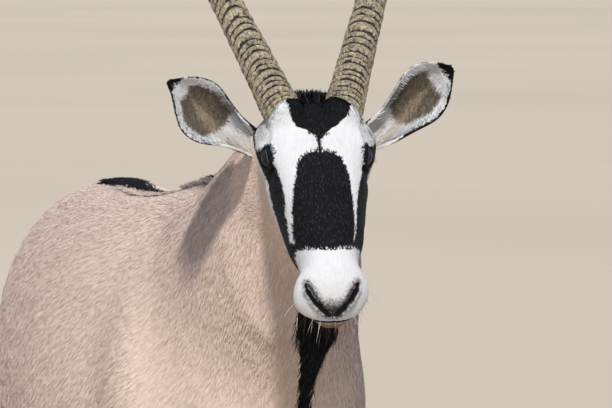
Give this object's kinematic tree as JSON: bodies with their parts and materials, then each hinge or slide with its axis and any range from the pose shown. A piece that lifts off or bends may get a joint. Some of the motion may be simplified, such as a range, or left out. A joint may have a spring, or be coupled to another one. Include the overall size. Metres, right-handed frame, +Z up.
{
  "type": "gemsbok",
  "caption": "Life-size standing gemsbok with long ringed horns, masked face, cupped ears, striped body and a long black tail, as a still museum model.",
  "frame": {"origin": "on the floor under the middle of the animal's box", "axes": "+X ahead of the animal, +Y to its left, +Z up"},
  "size_m": [1.999, 0.607, 1.8416],
  "materials": {
    "coat": "short sleek hair, fawn",
    "white_coat": "short sleek hair, white",
    "black_hair": "long coarse hair, black",
    "horn": "ringed horn, dull",
    "hoof": "worn hoof horn, dull",
    "eye": "wet dark eye"
  },
  "bodies": {
    "root": {"trunk": "coat", "neck": "coat", "head": "white_coat", "ear_left": "white_coat", "ear_right": "white_coat", "tail": "black_hair", "leg_front_left": "white_coat", "leg_front_right": "white_coat", "leg_hind_left": "white_coat", "leg_hind_right": "white_coat", "eye_left": "eye", "horn_left": "horn", "eye_right": "eye", "horn_right": "horn", "hoof_front_left_outer": "hoof", "dewclaw_front_left_outer": "hoof", "hoof_front_left_inner": "hoof", "dewclaw_front_left_inner": "hoof", "hoof_front_right_outer": "hoof", "dewclaw_front_right_outer": "hoof", "hoof_front_right_inner": "hoof", "dewclaw_front_right_inner": "hoof", "hoof_hind_left_outer": "hoof", "dewclaw_hind_left_outer": "hoof", "hoof_hind_left_inner": "hoof", "dewclaw_hind_left_inner": "hoof", "hoof_hind_right_outer": "hoof", "dewclaw_hind_right_outer": "hoof", "hoof_hind_right_inner": "hoof", "dewclaw_hind_right_inner": "hoof"}
  },
  "joints": []
}
